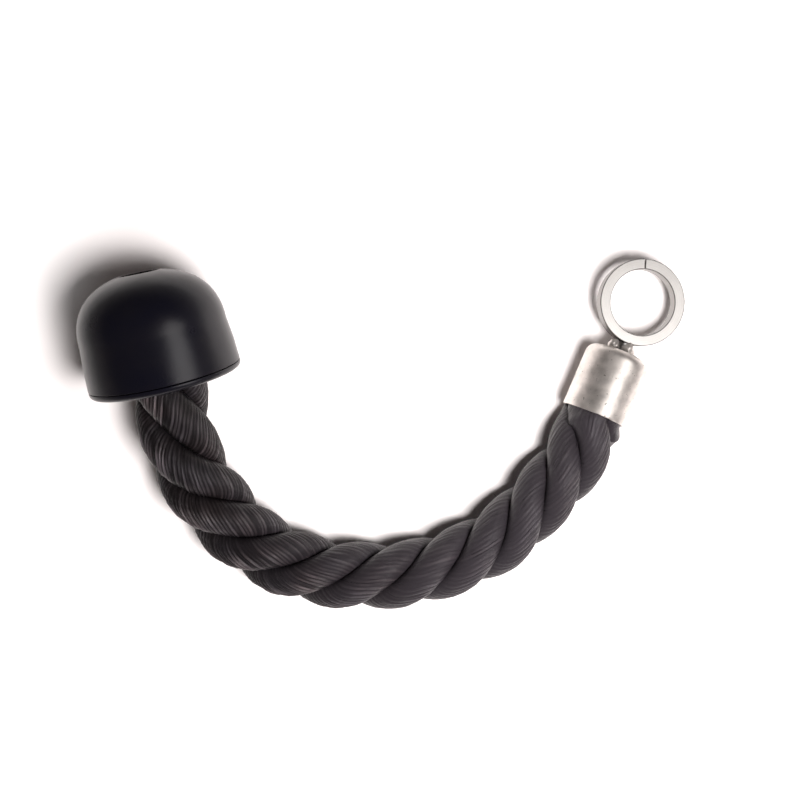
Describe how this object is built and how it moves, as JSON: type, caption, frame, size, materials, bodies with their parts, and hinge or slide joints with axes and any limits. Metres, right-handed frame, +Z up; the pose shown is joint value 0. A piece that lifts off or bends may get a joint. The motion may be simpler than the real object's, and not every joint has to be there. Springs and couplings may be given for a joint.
{
  "type": "triceps rope attachment",
  "caption": "Short three-strand rope handle with a bell-shaped end stop at one end and a metal ferrule with a swivelling pull ring at the other.",
  "frame": {"origin": "on the floor, under the middle of the box round the bell, ferrule and ring", "axes": "+X from the bell end towards the ferrule end, +Z up from the floor that the part lies on"},
  "size_m": [0.2687, 0.1602, 0.0683],
  "materials": {
    "moulded_rubber": "satin moulded black",
    "rope_fibre": "laid charcoal fibre yarns with a slight sheen",
    "cloth_tape": "matte black cloth tape",
    "satin_nickel": "satin nickel plate with small pits",
    "polished_steel": "bright, lightly brushed",
    "weld_steel": "rough plated weld",
    "plated_steel": "zinc plated",
    "brass": "plain turned",
    "resin": "set amber resin"
  },
  "bodies": {
    "ferrule_end": {"ferrule": "satin_nickel", "ferrule_resin": "resin", "rope_end_tape_ferrule": "cloth_tape", "swivel_barrier_disc": "plated_steel", "swivel_thrust_washer": "brass", "rope_strand_1": "rope_fibre", "rope_strand_2": "rope_fibre", "rope_strand_3": "rope_fibre"},
    "ring_end": {"pull_ring": "polished_steel", "swivel_stud": "plated_steel", "ring_weld_left": "weld_steel", "ring_weld_right": "weld_steel"},
    "bell_end": {"bell_dome": "moulded_rubber", "bell_base": "moulded_rubber", "bell_top_plug": "moulded_rubber", "rope_stop_washer": "plated_steel", "rope_stop_band": "plated_steel", "rope_end_tape_bell": "cloth_tape"}
  },
  "joints": [
    {"name": "ring_swivel", "type": "hinge", "parent": "ferrule_end", "child": "ring_end", "pos_m": [0.0933, -0.0327, 0.01475], "axis": [0.3907, 0.9205, 0], "continuous": true},
    {"name": "rope_bend", "type": "hinge", "parent": "ferrule_end", "child": "bell_end", "pos_m": [-0.0006, -0.1061, 0.0156], "axis": [0, 0, 1], "range_deg": [-30, 60], "deforming": ["rope_strand_1", "rope_strand_2", "rope_strand_3"]}
  ]
}
